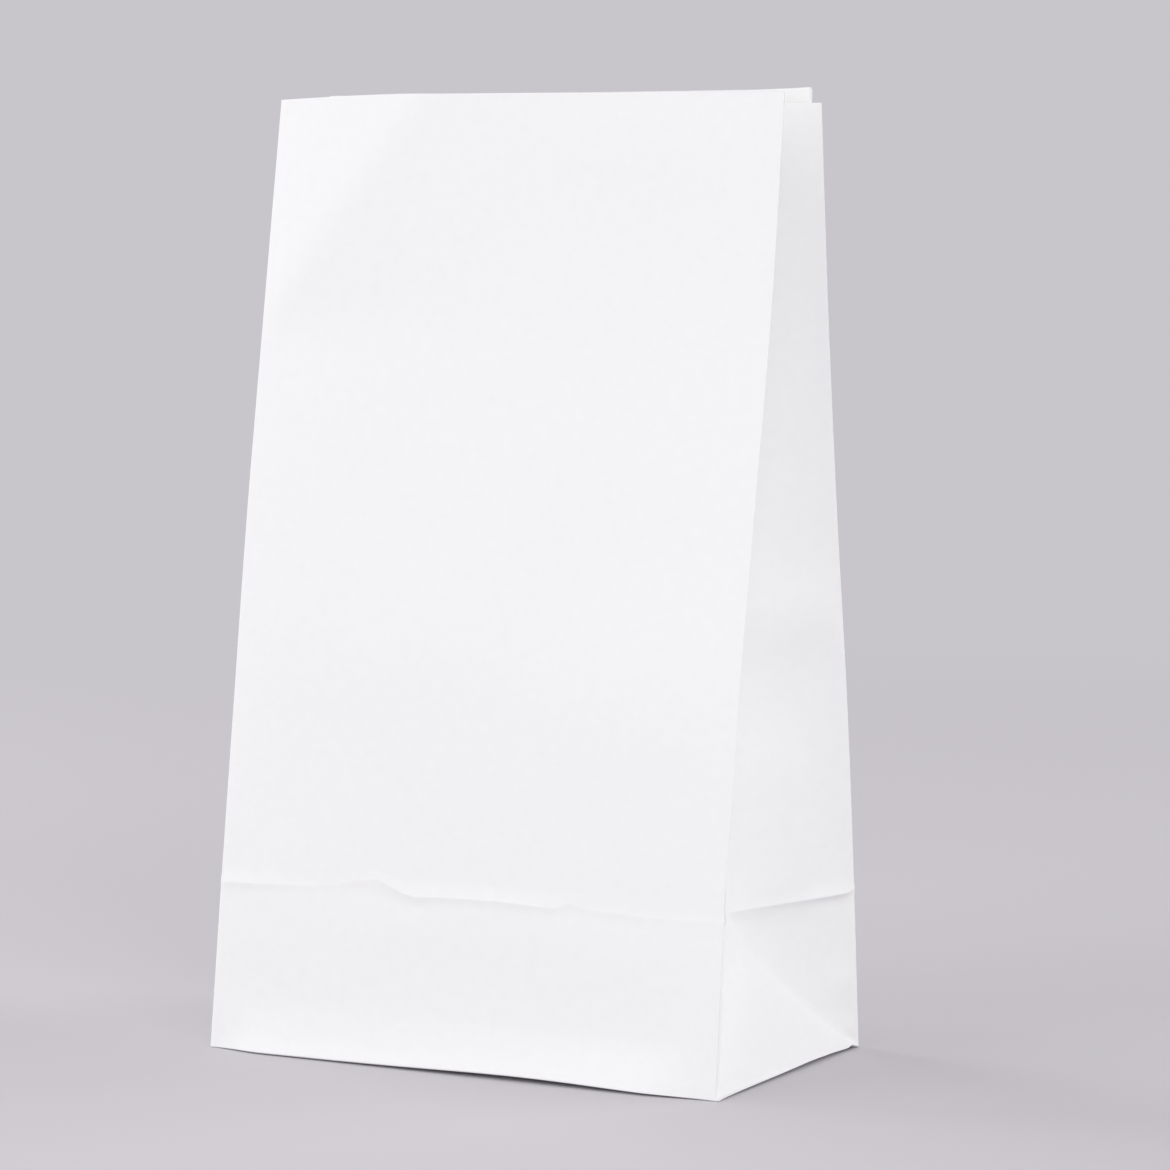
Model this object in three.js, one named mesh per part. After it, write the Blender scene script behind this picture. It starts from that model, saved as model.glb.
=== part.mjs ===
// A small white block-bottom paper bag, standing open and empty.
//
// The bag is one sheet of paper: a tube with a gusset folded into each side, closed below by a
// flat block bottom. Everything follows from how that tube folds. Each gusset is two halves of
// half the depth, hinged on a centre crease. Where the front and rear panels lean towards each
// other, the halves can only stay as wide as they are by pushing that crease inwards.
//
// Millimetres, +Z up. The origin is the middle of the base, the front panel faces -Y.

import * as THREE from 'three';

// The sheet, measured along the paper
const WIDTH = 120; // front and rear panel, from fold to fold
const DEPTH = 70; // block bottom, front to rear
const FRONT_PANEL = 204; // front panel, from the bottom fold to the cut at the mouth
const REAR_PANEL = 202.6; // rear panel, from the bottom fold to the level of the same cut
const FRONT_BLOCK_LEFT = 35.1; // bottom fold to block crease, on the left of the front panel
const FRONT_BLOCK_RIGHT = 36.2; // the same on its right: the crease runs slightly askew
const REAR_BLOCK = 34.4; // bottom fold to block crease, on the rear panel
const LIP = 3.4; // how far the rear panel stands above the cut
const LIP_INSET = 2.4; // the lip starts this far in from the upright folds
const WALL = 0.5; // wall of the solid

// How far each upright fold leans inwards, at these lengths up from the bottom fold
const STATIONS = [0, 35, 75, 115, 160, 204];
const FRONT_LEFT_LEAN = [0, 4.0, 8.9, 13.9, 20.6, 27.1];
const FRONT_RIGHT_LEAN = [0, 2.6, 6.6, 12.6, 19.9, 24.0];
const REAR_LEAN = [0, 3.7, 8.8, 15.5, 22.0, 27.0];

// Soft forms of the standing sheet
const FRONT_BOW = 3.0; // outward bow of the front panel at the mouth
const REAR_BOW = 2.0; // the same on the rear panel
const CREASE_RIDGE = 0.5; // how far the block crease stands proud of the panels
const SIDE_RIDGE = 1.0; // the same at the middle of each gusset half
const MOUTH_DIP = THREE.MathUtils.degToRad(2); // slope of the cut towards the gusset's crease

// How finely the faces are divided
const PANEL_CELLS = 12; // across a panel, between the two narrow cells at its folds
const HALF_CELLS = 5; // across half a gusset, and up the block, so that its folds follow cells
const TUBE_CELLS = 22; // from the block crease to the mouth
const FOLD_STEP = 0.5; // length of one step when a leaning fold is laid out along the paper

const HALF_GUSSET = DEPTH / 2;
const PANEL_COLUMNS = PANEL_CELLS + 2;
const ROWS = HALF_CELLS + TUBE_CELLS;

// A smooth curve through the values given at the stations
function smoothThrough(stations, values, at) {
  const last = stations.length - 1;
  const slopeAt = (index) => {
    const before = Math.max(index - 1, 0);
    const after = Math.min(index + 1, last);
    return (values[after] - values[before]) / (stations[after] - stations[before]);
  };
  if (at >= stations[last]) {
    return values[last] + slopeAt(last) * (at - stations[last]);
  }
  const start = stations.findLastIndex((station) => station <= at);
  const span = stations[start + 1] - stations[start];
  const t = (at - stations[start]) / span;
  const rise = values[start + 1] - values[start];
  const startPull = slopeAt(start) * span - rise;
  const endPull = rise - slopeAt(start + 1) * span;
  return values[start] + rise * t + t * (1 - t) * (startPull * (1 - t) + endPull * t);
}

// An upright fold: returns the point of the fold at a length s up from the bottom fold.
// The paper doesn't stretch, so what leans inwards is lost in height.
function uprightFold(x, footY, lean) {
  const inwards = -Math.sign(footY);
  const heights = [0];
  for (let s = FOLD_STEP; s <= FRONT_PANEL + LIP + FOLD_STEP; s += FOLD_STEP) {
    const step = smoothThrough(STATIONS, lean, s) - smoothThrough(STATIONS, lean, s - FOLD_STEP);
    heights.push(heights.at(-1) + Math.sqrt(FOLD_STEP ** 2 - step ** 2));
  }
  return (s) => {
    const index = Math.min(Math.floor(s / FOLD_STEP), heights.length - 2);
    const share = s / FOLD_STEP - index;
    const z = THREE.MathUtils.lerp(heights[index], heights[index + 1], share);
    return new THREE.Vector3(x, footY + inwards * smoothThrough(STATIONS, lean, s), z);
  };
}

// One side of the bag: its two upright folds and its gusset. side is +1 on the right, -1 on
// the left.
function gussetSide(side, frontLean, frontBlock) {
  const x = side * WIDTH / 2;
  const front = uprightFold(x, -HALF_GUSSET, frontLean);
  const rear = uprightFold(x, HALF_GUSSET, REAR_LEAN);
  const lengthAt = (row, block, panel) => {
    if (row <= HALF_CELLS) return block * row / HALF_CELLS;
    return THREE.MathUtils.lerp(block, panel, (row - HALF_CELLS) / TUBE_CELLS);
  };
  const frontAt = (row) => front(lengthAt(row, frontBlock, FRONT_PANEL));
  const rearAt = (row) => rear(lengthAt(row, REAR_BLOCK, REAR_PANEL));

  // How deep the centre crease lies inside the line between the two folds
  const creaseDepth = (row) => {
    const half = frontAt(row).distanceTo(rearAt(row)) / 2;
    return Math.sqrt(HALF_GUSSET ** 2 - half ** 2);
  };

  // At the block the same depth also tips down, because the triangle below keeps its height
  const blockDepth = creaseDepth(HALF_CELLS);
  const blockMiddle = frontAt(HALF_CELLS).lerp(rearAt(HALF_CELLS), 0.5);
  const triangleHeight = (frontBlock + REAR_BLOCK) / 2;
  const excess = blockDepth ** 2 + blockMiddle.z ** 2 - triangleHeight ** 2;
  const blockDip = Math.asin(excess / (2 * blockMiddle.z * blockDepth));

  const creaseAt = (row) => {
    const rise = (row - HALF_CELLS) / TUBE_CELLS;
    const dip = THREE.MathUtils.lerp(blockDip, MOUTH_DIP, rise);
    const depth = creaseDepth(row);
    const point = frontAt(row).lerp(rearAt(row), 0.5);
    point.x -= side * depth * Math.cos(dip);
    point.z -= depth * Math.sin(dip);
    return point;
  };
  return { side, frontAt, rearAt, creaseAt, rear };
}

// A point of the gusset in its tube, above the block crease. column counts from the front
// fold to the rear fold.
function tubeSidePoint(gusset, column, row) {
  const crease = gusset.creaseAt(row);
  const onFrontHalf = column <= HALF_CELLS;
  const fold = onFrontHalf ? gusset.frontAt(row) : gusset.rearAt(row);
  const share = Math.abs(column - HALF_CELLS) / HALF_CELLS;
  const point = crease.clone().lerp(fold, share);
  if (row === HALF_CELLS) point.x += gusset.side * SIDE_RIDGE * Math.sin(Math.PI * share);
  return point;
}

// A point of the side of the block. Two diagonals run from the bottom corners to the apex,
// the foot of the centre crease. Below them lies one leaning triangle, above them two more.
function blockSidePoint(gusset, column, row) {
  const apex = gusset.creaseAt(HALF_CELLS);
  const onFrontHalf = column <= HALF_CELLS;
  const fold = onFrontHalf ? gusset.frontAt : gusset.rearAt;
  const across = onFrontHalf ? column : 2 * HALF_CELLS - column;
  const corner = fold(0);
  const middle = new THREE.Vector3(corner.x, 0, 0);
  const along = Math.min(across, row) / HALF_CELLS;
  const point = corner.clone().lerp(apex, along);
  if (row >= across) {
    const up = fold(row - across).sub(corner);
    return point.add(up);
  }
  return point.addScaledVector(middle.sub(corner), (across - row) / HALF_CELLS);
}

// Where the columns of a panel stand, as a share of its width: narrow cells at the folds give
// the ends of the lip a place
function panelShare(column) {
  const inset = LIP_INSET / WIDTH;
  if (column === 0) return 0;
  if (column === PANEL_COLUMNS) return 1;
  return THREE.MathUtils.lerp(inset, 1 - inset, (column - 1) / PANEL_CELLS);
}

// A point of the front or rear panel between its two upright folds
function panelPoint(from, to, share, row, bow) {
  const point = from.clone().lerp(to, share);
  const rise = Math.max(row - HALF_CELLS, 0) / TUBE_CELLS;
  const crown = 4 * share * (1 - share);
  const outwards = Math.sign(bow);
  point.y += bow * crown * Math.sin(rise * Math.PI / 2);
  if (row === HALF_CELLS) point.y += outwards * CREASE_RIDGE * crown;
  return point;
}

// All points of one level of the bag, counter-clockwise seen from above, from the front left fold
function ringOfPoints(left, right, row) {
  const points = [];
  const sidePoint = row < HALF_CELLS ? blockSidePoint : tubeSidePoint;
  for (let column = 0; column < PANEL_COLUMNS; column += 1) {
    const share = panelShare(column);
    points.push(panelPoint(left.frontAt(row), right.frontAt(row), share, row, -FRONT_BOW));
  }
  for (let column = 0; column < 2 * HALF_CELLS; column += 1) {
    points.push(sidePoint(right, column, row));
  }
  for (let column = 0; column < PANEL_COLUMNS; column += 1) {
    const share = panelShare(column);
    points.push(panelPoint(right.rearAt(row), left.rearAt(row), share, row, REAR_BOW));
  }
  for (let column = 2 * HALF_CELLS; column > 0; column -= 1) {
    points.push(sidePoint(left, column, row));
  }
  return points;
}

// The sheet's outer surface, as points and triangles that are counter-clockwise from outside
function outerSheet() {
  const left = gussetSide(-1, FRONT_LEFT_LEAN, FRONT_BLOCK_LEFT);
  const right = gussetSide(1, FRONT_RIGHT_LEAN, FRONT_BLOCK_RIGHT);
  const points = [];
  const triangles = [];
  for (let row = 0; row <= ROWS; row += 1) {
    points.push(...ringOfPoints(left, right, row));
  }
  const perRing = points.length / (ROWS + 1);
  const at = (row, column) => row * perRing + (column % perRing);
  addWalls(triangles, at, perRing);
  addLip(points, triangles, at, left, right);
  addBase(points, triangles, at);
  return { points, triangles };
}

// Splits a cell into two triangles. a, b, c, d run counter-clockwise from its lower left.
function addCell(triangles, a, b, c, d, risesToTheRight) {
  if (risesToTheRight) {
    triangles.push([a, b, c], [a, c, d]);
  } else {
    triangles.push([a, b, d], [b, c, d]);
  }
}

// The four walls. Over the front half of a gusset the cells' diagonals rise to the crease, and
// over the rear half they fall from it, so that the block's folds run along them.
function addWalls(triangles, at, perRing) {
  const rightSide = PANEL_COLUMNS;
  const leftSide = 2 * PANEL_COLUMNS + 2 * HALF_CELLS;
  for (let row = 0; row < ROWS; row += 1) {
    for (let column = 0; column < perRing; column += 1) {
      const onLeft = column >= leftSide;
      const intoSide = column - (onLeft ? leftSide : rightSide);
      const rises = intoSide < HALF_CELLS;
      const corners = [at(row, column), at(row, column + 1), at(row + 1, column + 1), at(row + 1, column)];
      addCell(triangles, ...corners, rises);
    }
  }
}

// The lip: the rear panel goes on above the cut, a little in from its folds
function addLip(points, triangles, at, left, right) {
  const firstColumn = PANEL_COLUMNS + 2 * HALF_CELLS;
  const lipLevel = REAR_PANEL + LIP;
  const firstPoint = points.length;
  for (let column = 1; column < PANEL_COLUMNS; column += 1) {
    const share = panelShare(column);
    points.push(panelPoint(right.rear(lipLevel), left.rear(lipLevel), share, ROWS, REAR_BOW));
  }
  for (let column = 1; column < PANEL_COLUMNS - 1; column += 1) {
    const below = firstColumn + column;
    const above = firstPoint + column - 1;
    addCell(triangles, at(ROWS, below), at(ROWS, below + 1), above + 1, above, true);
  }
}

// The flat base between the lowest ring's points
function addBase(points, triangles, at) {
  const sideCells = 2 * HALF_CELLS;
  const rearStart = PANEL_COLUMNS + sideCells;
  const leftStart = rearStart + PANEL_COLUMNS;
  const grid = [];
  for (let row = 0; row <= sideCells; row += 1) {
    const line = [];
    for (let column = 0; column <= PANEL_COLUMNS; column += 1) {
      if (row === 0) {
        line.push(at(0, column));
      } else if (row === sideCells) {
        line.push(at(0, rearStart + PANEL_COLUMNS - column));
      } else if (column === 0) {
        line.push(at(0, leftStart + sideCells - row));
      } else if (column === PANEL_COLUMNS) {
        line.push(at(0, PANEL_COLUMNS + row));
      } else {
        const x = WIDTH * (panelShare(column) - 0.5);
        const y = DEPTH * (row / sideCells - 0.5);
        line.push(points.length);
        points.push(new THREE.Vector3(x, y, 0));
      }
    }
    grid.push(line);
  }
  for (let row = 0; row < sideCells; row += 1) {
    for (let column = 0; column < PANEL_COLUMNS; column += 1) {
      const [near, far] = [grid[row], grid[row + 1]];
      addCell(triangles, near[column], far[column], far[column + 1], near[column + 1], true);
    }
  }
}

// Where each point of the inner surface lies: one wall behind every face that meets there
function innerPoints(points, triangles, wall) {
  const sums = points.map(() => ({ matrix: new Array(9).fill(0), vector: new THREE.Vector3() }));
  for (const [a, b, c] of triangles) {
    const face = new THREE.Triangle(points[a], points[b], points[c]);
    const normal = face.getNormal(new THREE.Vector3());
    const n = normal.toArray();
    for (const index of [a, b, c]) {
      sums[index].vector.addScaledVector(normal, -wall);
      sums[index].matrix.forEach((_, cell) => {
        sums[index].matrix[cell] += n[Math.floor(cell / 3)] * n[cell % 3];
      });
    }
  }
  const leastBend = 1e-4; // keeps the solution short where all the faces are in one plane
  return points.map((point, index) => {
    const m = sums[index].matrix;
    for (const cell of [0, 4, 8]) m[cell] += leastBend;
    const inverse = new THREE.Matrix3().set(...m).invert();
    return sums[index].vector.clone().applyMatrix3(inverse).add(point);
  });
}

// Gives an open sheet its wall: the inner surface, and a narrow band along every free edge
function thicken({ points, triangles }, wall) {
  const count = points.length;
  const all = [...points, ...innerPoints(points, triangles, wall)];
  const faces = [...triangles];
  const edges = new Set();
  for (const [a, b, c] of triangles) {
    faces.push([c + count, b + count, a + count]);
    for (const [from, to] of [[a, b], [b, c], [c, a]]) edges.add(`${from},${to}`);
  }
  for (const edge of edges) {
    const [from, to] = edge.split(',').map(Number);
    if (edges.has(`${to},${from}`)) continue;
    faces.push([to, from, from + count], [to, from + count, to + count]);
  }
  const geometry = new THREE.BufferGeometry();
  geometry.setAttribute('position', new THREE.Float32BufferAttribute(all.flatMap((p) => p.toArray()), 3));
  geometry.setIndex(faces.flat());
  geometry.computeVertexNormals();
  return geometry;
}

function makeBag() {
  const paper = new THREE.MeshStandardMaterial({ color: 0xf1f0f4, roughness: 0.85, metalness: 0 });
  const bag = new THREE.Mesh(thicken(outerSheet(), WALL), paper);
  bag.name = 'paper_bag';
  return bag;
}

const group = new THREE.Group();
group.add(makeBag());

export default group;
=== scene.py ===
# %% [markdown]
# # A small white paper bag
# The bag stands open and empty on its block bottom. It is one sheet of thin white paper: a tube
# with a gusset folded into each side, and a bottom folded and glued flat. The script first bends
# that sheet in numbers, from the lengths that the paper has when it lies flat, and then gives it
# a wall, a bottom, a finish and a studio.

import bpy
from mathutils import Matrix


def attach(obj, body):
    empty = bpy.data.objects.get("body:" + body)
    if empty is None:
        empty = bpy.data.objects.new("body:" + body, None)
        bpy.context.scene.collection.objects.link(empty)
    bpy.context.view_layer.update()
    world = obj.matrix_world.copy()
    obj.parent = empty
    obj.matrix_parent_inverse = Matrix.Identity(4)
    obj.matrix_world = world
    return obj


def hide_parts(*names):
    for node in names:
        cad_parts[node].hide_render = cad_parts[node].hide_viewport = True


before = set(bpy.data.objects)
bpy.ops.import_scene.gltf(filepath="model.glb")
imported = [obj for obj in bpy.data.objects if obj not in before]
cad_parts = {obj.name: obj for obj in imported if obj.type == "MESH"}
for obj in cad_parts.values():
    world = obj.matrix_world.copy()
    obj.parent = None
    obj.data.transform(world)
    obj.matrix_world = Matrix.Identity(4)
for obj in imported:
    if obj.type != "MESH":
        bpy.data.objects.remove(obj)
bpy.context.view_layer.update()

# %% [markdown]
# ## Camera
# The camera stands where the photo was taken from: about 0.9 m away, to the right of the bag and
# a little above it, with a long lens. A camera could be aimed by hand until the picture looks
# right. Here its yaw, pitch, roll and distance come from fitting a pinhole camera to the bag's
# corners and folds, so they are turned into a rotation matrix.

# %% Camera
import math

import bpy
import numpy as np
from mathutils import Matrix, Vector

MM = 0.001
SENSOR_MM = 36
FOCAL_PIXELS = 4304
IMAGE_PIXELS = 1170
CAMERA_YAW = math.radians(26.99)
CAMERA_PITCH = math.radians(4.32)
CAMERA_ROLL = math.radians(0.62)
CAMERA_DISTANCE_MM = 908.4
AIM_MM = (10.57, 0, 99.58)


def add_camera():
    level = math.cos(CAMERA_PITCH)
    forward = Vector((-math.sin(CAMERA_YAW) * level, math.cos(CAMERA_YAW) * level,
                      -math.sin(CAMERA_PITCH)))
    right = Vector((math.cos(CAMERA_YAW), math.sin(CAMERA_YAW), 0))
    up = right.cross(forward)
    rolled_right = math.cos(CAMERA_ROLL) * right + math.sin(CAMERA_ROLL) * up
    rolled_up = -math.sin(CAMERA_ROLL) * right + math.cos(CAMERA_ROLL) * up
    data = bpy.data.cameras.new("camera")
    data.sensor_width = SENSOR_MM
    data.lens = FOCAL_PIXELS / IMAGE_PIXELS * SENSOR_MM
    camera = bpy.data.objects.new("camera", data)
    turn = Matrix((rolled_right, rolled_up, -forward)).transposed().to_4x4()
    place = (Vector(AIM_MM) - CAMERA_DISTANCE_MM * forward) * MM
    camera.matrix_world = Matrix.Translation(place) @ turn
    bpy.context.collection.objects.link(camera)
    bpy.context.scene.camera = camera
    return camera


camera = add_camera()
print("lens %.1f mm, camera at %s" % (camera.data.lens, [round(v, 3) for v in camera.location]))

# %% [markdown]
# ## The sheet and its upright folds
# The sizes are lengths along the paper. Each upright fold leans inwards on its way up, because
# the bag narrows from 70 mm deep at the block bottom to under 20 mm at the mouth. Paper doesn't
# stretch, so what a fold leans inwards it loses in height. Four planes could be turned until
# their edges meet, but they would stay flat. Here the lean is given at six stations along each
# fold, and a smooth curve is drawn through them.

# %% Sizes of the sheet
WIDTH = 120.0
DEPTH = 70.0
HALF_GUSSET = DEPTH / 2
GIRTH = 2 * (WIDTH + DEPTH)
FRONT_PANEL = 204.0
REAR_PANEL = 202.6
FRONT_BLOCK_LEFT = 35.1
FRONT_BLOCK_RIGHT = 36.2
REAR_BLOCK = 34.4
LIP = 3.4
print("tube: %.0f mm round, %.0f mm up the front" % (GIRTH, FRONT_PANEL))

# %% Upright folds
# how far each fold leans inwards at these lengths up the paper
STATIONS = np.array([0, 35, 75, 115, 160, 204.0])
FRONT_LEFT_LEAN = np.array([0, 4.0, 8.9, 13.9, 20.6, 27.1])
FRONT_RIGHT_LEAN = np.array([0, 2.6, 5.9, 12.4, 19.9, 24.8])
REAR_LEAN = np.array([0, 3.7, 8.8, 15.5, 22.0, 27.0])
# each fold is worked out in short steps along the paper, to a little past the lip
FOLD_STEP = 0.5
FOLD_LENGTH = FRONT_PANEL + LIP + 3


def smooth_through(stations, values, at):
    """A smooth curve through the values, which goes straight on after the last station."""
    slopes = np.empty(len(values))
    slopes[1:-1] = (values[2:] - values[:-2]) / (stations[2:] - stations[:-2])
    slopes[0] = (values[1] - values[0]) / (stations[1] - stations[0])
    slopes[-1] = (values[-1] - values[-2]) / (stations[-1] - stations[-2])
    at = np.asarray(at, float)
    i = np.clip(np.searchsorted(stations, at, side="right") - 1, 0, len(stations) - 2)
    span = stations[i + 1] - stations[i]
    t = (at - stations[i]) / span
    rise = values[i + 1] - values[i]
    start_pull = slopes[i] * span - rise
    end_pull = rise - slopes[i + 1] * span
    curve = values[i] + rise * t + t * (1 - t) * (start_pull * (1 - t) + end_pull * t)
    return np.where(t > 1, values[-1] + slopes[-1] * (at - stations[-1]), curve)


def upright_fold(x, foot_y, lean):
    """A function that turns a length along the paper into a place on the fold."""
    lengths = np.arange(0, FOLD_LENGTH, FOLD_STEP)
    leans = smooth_through(STATIONS, lean, lengths)
    rises = np.sqrt(FOLD_STEP ** 2 - np.diff(leans) ** 2)
    heights = np.concatenate([[0], np.cumsum(rises)])
    inwards = -np.sign(foot_y)

    def at(length):
        length = np.asarray(length, float)
        y = foot_y + inwards * np.interp(length, lengths, leans)
        return np.stack([np.full_like(length, x), y, np.interp(length, lengths, heights)], -1)
    return at


front_left = upright_fold(-WIDTH / 2, -HALF_GUSSET, FRONT_LEFT_LEAN)
front_right = upright_fold(WIDTH / 2, -HALF_GUSSET, FRONT_RIGHT_LEAN)
rear_left = upright_fold(-WIDTH / 2, HALF_GUSSET, REAR_LEAN)
rear_right = upright_fold(WIDTH / 2, HALF_GUSSET, REAR_LEAN)
print("mouth corners (mm):", front_left(FRONT_PANEL).round(1), front_right(FRONT_PANEL).round(1))

# %% [markdown]
# ## Where the mesh lines run
# A fold in paper is a bend with a radius of a few tenths of a millimetre, between faces that are
# almost flat. An even grid that is fine enough for the folds would have far too many faces, so
# the mesh lines crowd together beside every fold and spread out between them.
# The block crease and the gusset halves use the same spacing, so that the 45 degree folds of the
# block run exactly through the mesh's corners.

# %% Spacing of the mesh lines
# the cells beside a fold, each wider than the one before, and the widest cell of all
BESIDE_FOLD = np.cumsum([0, 0.2, 0.3, 0.45, 0.6, 0.85, 1.1, 1.5])
WIDEST_CELL = 1.9


def spacing(length):
    """Shares of the length from 0 to 1, close together at both ends."""
    cells = math.ceil((length / 2 - BESIDE_FOLD[-1]) / WIDEST_CELL)
    middle = np.linspace(BESIDE_FOLD[-1], length / 2, cells + 1)[1:]
    half = np.concatenate([BESIDE_FOLD, middle])
    return np.concatenate([half, length - half[-2::-1]]) / length


panel_shares = spacing(WIDTH)
half_shares = spacing(HALF_GUSSET)
tube_shares = spacing(FRONT_PANEL - FRONT_BLOCK_LEFT)
levels = np.concatenate([half_shares, 1 + tube_shares[1:]])
CREASE_ROW = len(half_shares) - 1
print("mesh lines: panel %d, gusset half %d, upwards %d"
      % (len(panel_shares), len(half_shares), len(levels)))


def length_at(level, block, panel):
    """Length along the paper: levels 0 to 1 are the block, 1 to 2 the tube above it."""
    return np.where(level <= 1, block * level, block + (panel - block) * (level - 1))


def mix(a, b, share):
    return a + (b - a) * share


# %% [markdown]
# ## Gussets
# Each gusset is two halves of 35 mm, hinged on a centre crease. As the panels lean towards each
# other, the halves can only keep their width by pushing the crease into the bag. Below the block
# crease the same paper lies in three triangles, divided by two folds that rise at 45 degrees
# from the bottom corners to the foot of the centre crease. The folds could be set by eye, edge
# by edge. Worked out from the widths of the paper, they meet exactly.

# %% Gussets
# at the mouth the way in from the two folds' middle to the centre crease dips by this
MOUTH_DIP = math.radians(2)


def gusset_strip(side, front_fold, rear_fold, front_block):
    """Points of one side, [level, column], from the front fold to the rear fold."""
    front_at = front_fold(length_at(levels, front_block, FRONT_PANEL))
    rear_at = rear_fold(length_at(levels, REAR_BLOCK, REAR_PANEL))
    middle = (front_at + rear_at) / 2
    half_gap = np.linalg.norm(front_at - rear_at, axis=1) / 2
    depth = np.sqrt(np.maximum(HALF_GUSSET ** 2 - half_gap ** 2, 0))
    block_z, block_depth = middle[CREASE_ROW, 2], depth[CREASE_ROW]
    triangle = (front_block + REAR_BLOCK) / 2
    excess = block_depth ** 2 + block_z ** 2 - triangle ** 2
    block_dip = math.asin(excess / (2 * block_z * block_depth))
    dip = mix(block_dip, MOUTH_DIP, np.clip(levels - 1, 0, 1))
    crease = middle.copy()
    crease[:, 0] -= side * depth * np.cos(dip)
    crease[:, 2] -= depth * np.sin(dip)
    apex = crease[CREASE_ROW]
    halves = []
    for fold, at, block in ((front_fold, front_at, front_block), (rear_fold, rear_at, REAR_BLOCK)):
        tube = mix(at[:, None], crease[:, None], half_shares[None, :, None])
        corner = at[0]
        foot = np.array([corner[0], 0, 0])
        across, up = np.meshgrid(half_shares, half_shares)
        along = np.minimum(across, up)[..., None]
        block_part = mix(corner, apex, along)
        above = fold(np.maximum(up - across, 0) * block) - corner
        below = (foot - corner) * np.maximum(across - up, 0)[..., None]
        tube[:CREASE_ROW] = (block_part + above + below)[:CREASE_ROW]
        halves.append(tube)
    return np.concatenate([halves[0], halves[1][:, -2::-1]], axis=1)


right_side = gusset_strip(1, front_right, rear_right, FRONT_BLOCK_RIGHT)
left_side = gusset_strip(-1, front_left, rear_left, FRONT_BLOCK_LEFT)
CREASE_COLUMN = len(half_shares) - 1
print("foot of the centre crease (mm): right %s, left %s"
      % (right_side[CREASE_ROW, CREASE_COLUMN].round(1),
         left_side[CREASE_ROW, CREASE_COLUMN].round(1)))

# %% [markdown]
# ## Soft forms
# So far every face is flat. Real paper stands in shallow bulges and dents, its creases are small
# ridges, and a bag that was unfolded by hand has a kink here and there. These could be
# sculpted by hand. Here each is a small push along the face's own normal, a bell curve or a
# ridge, given by its place and its size in millimetres on the sheet, so that the folds stay
# where they are. A place is u across the panel and t up the sheet.

# %% Helpers for soft forms
def outward(strip):
    """Normals of a strip of points, out of the bag."""
    rows = np.gradient(strip, axis=0)
    columns = np.gradient(strip, axis=1)
    normal = np.cross(columns, rows)
    return normal / np.linalg.norm(normal, axis=-1, keepdims=True)


def bell(distance, radius):
    """A bell curve that has 1 at its middle and 0.37 at the radius."""
    return np.exp(-(distance / radius) ** 2)


def soft_step(value, start, end):
    t = np.clip((value - start) / (end - start), 0, 1)
    return t * t * (3 - 2 * t)


def bumps(u, t, places):
    """The sum of bell-shaped bumps. Each place is (u, t, radius across, radius up, height)."""
    total = np.zeros(np.broadcast(u, t).shape)
    for at_u, at_t, across, up, height in places:
        total += height * np.exp(-((u - at_u) / across) ** 2 - ((t - at_t) / up) ** 2)
    return total


def push(strip, amount):
    return strip + outward(strip) * amount[..., None]


# forms on a panel fade out this far from its upright folds
PANEL_FADE = 5


def on_panel(u):
    """1 on a panel, and 0 at its upright folds."""
    return soft_step(u, 0, PANEL_FADE) * soft_step(WIDTH - u, 0, PANEL_FADE)


def crown(share):
    """A flat arch over a panel, from 0 at one fold over 1 in the middle to 0 at the other."""
    return 4 * share * (1 - share)


print("forms fade out %d mm from a panel's upright folds" % PANEL_FADE)

# %% [markdown]
# ## Block crease
# The crease across the panel is where the tube was folded flat over the block. Opened again, it
# stays as a small ridge with a steep drop under it, it wanders, and it has two kinks from the
# hand that opened it. A bump map could shade it, but its outline and its shadow would be
# missing. So the mesh rows beside the crease are moved with it, and the ridge stays crisp.

# %% Block crease
# how far the crease rises from its straight line, at places across the front
CREASE_PATH_U = np.array([0, 10, 20, 28, 32, 36, 39.5, 42, 45, 48.5, 55, 68, 78, 80, 82, 84.7,
                          87, 89.5, 94, 102, 112, 120.0])
CREASE_PATH_RISE = np.array([0.3, 0.35, 0.8, 1.3, 2.4, 3.0, 3.3, 2.2, 0.9, 0.15, 0.5, 0.6, 0.1,
                             -0.2, 0.3, 1.3, 0.9, 0.3, 0.2, -0.3, -0.4, 0.0])
PATH_FADE = 3
# the mesh rows within this reach move with the crease
CREASE_REACH = 6.5
RIDGE = 0.42
RIDGE_U = np.array([0, 8, 17, 26, 36, 42, 48, 76, 81, 86, 100, 112, 120.0])
RIDGE_SHARE = np.array([0.9, 0.8, 0.4, 0.2, 0.3, 0.7, 1.0, 0.95, 0.6, 0.2, 0.25, 0.2, 0.1])
# the slope above the ridge, the steep drop under it and the long slope at its foot
RIDGE_ABOVE, RIDGE_ABOVE_POWER = 2.8, 1.2
RIDGE_BELOW = 1.3
RIDGE_DROP = 0.75
RIDGE_FOOT = 6.0


def wander(u, path_u, path_rise):
    """How far a panel's crease rises from its straight line: not at all at the folds."""
    path = np.interp(u, path_u, path_rise)
    return path * soft_step(u, 0, PATH_FADE) * soft_step(WIDTH - u, 0, PATH_FADE)


def crease_ridge(offset):
    """A ridge with its top at 0: a slope above it, a steep drop and a long slope below it."""
    above = np.clip(1 - offset / RIDGE_ABOVE, 0, 1) ** RIDGE_ABOVE_POWER
    drop = np.clip(1 + offset / RIDGE_BELOW, 0, 1)
    below = RIDGE_DROP * drop + (1 - RIDGE_DROP) * np.exp(offset / RIDGE_FOOT)
    return np.where(offset >= 0, above, below)


print("block crease: ridge %.2f mm, kinks up to %.1f mm" % (RIDGE, CREASE_PATH_RISE.max()))

# %% [markdown]
# ## Front panel
# The front is nearly flat. Apart from the crease, what gives it away as paper is a top left
# corner that is bent back a little, an edge that curls back towards the left fold, a lowest
# strip that stands out at its lower edge, and a few shallow dents. A displacement picture could
# hold all of these. Here each is a short formula, so its size can be read and changed.

# %% Bent corner of the front
CORNER_BEND = math.radians(11.3)
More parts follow.
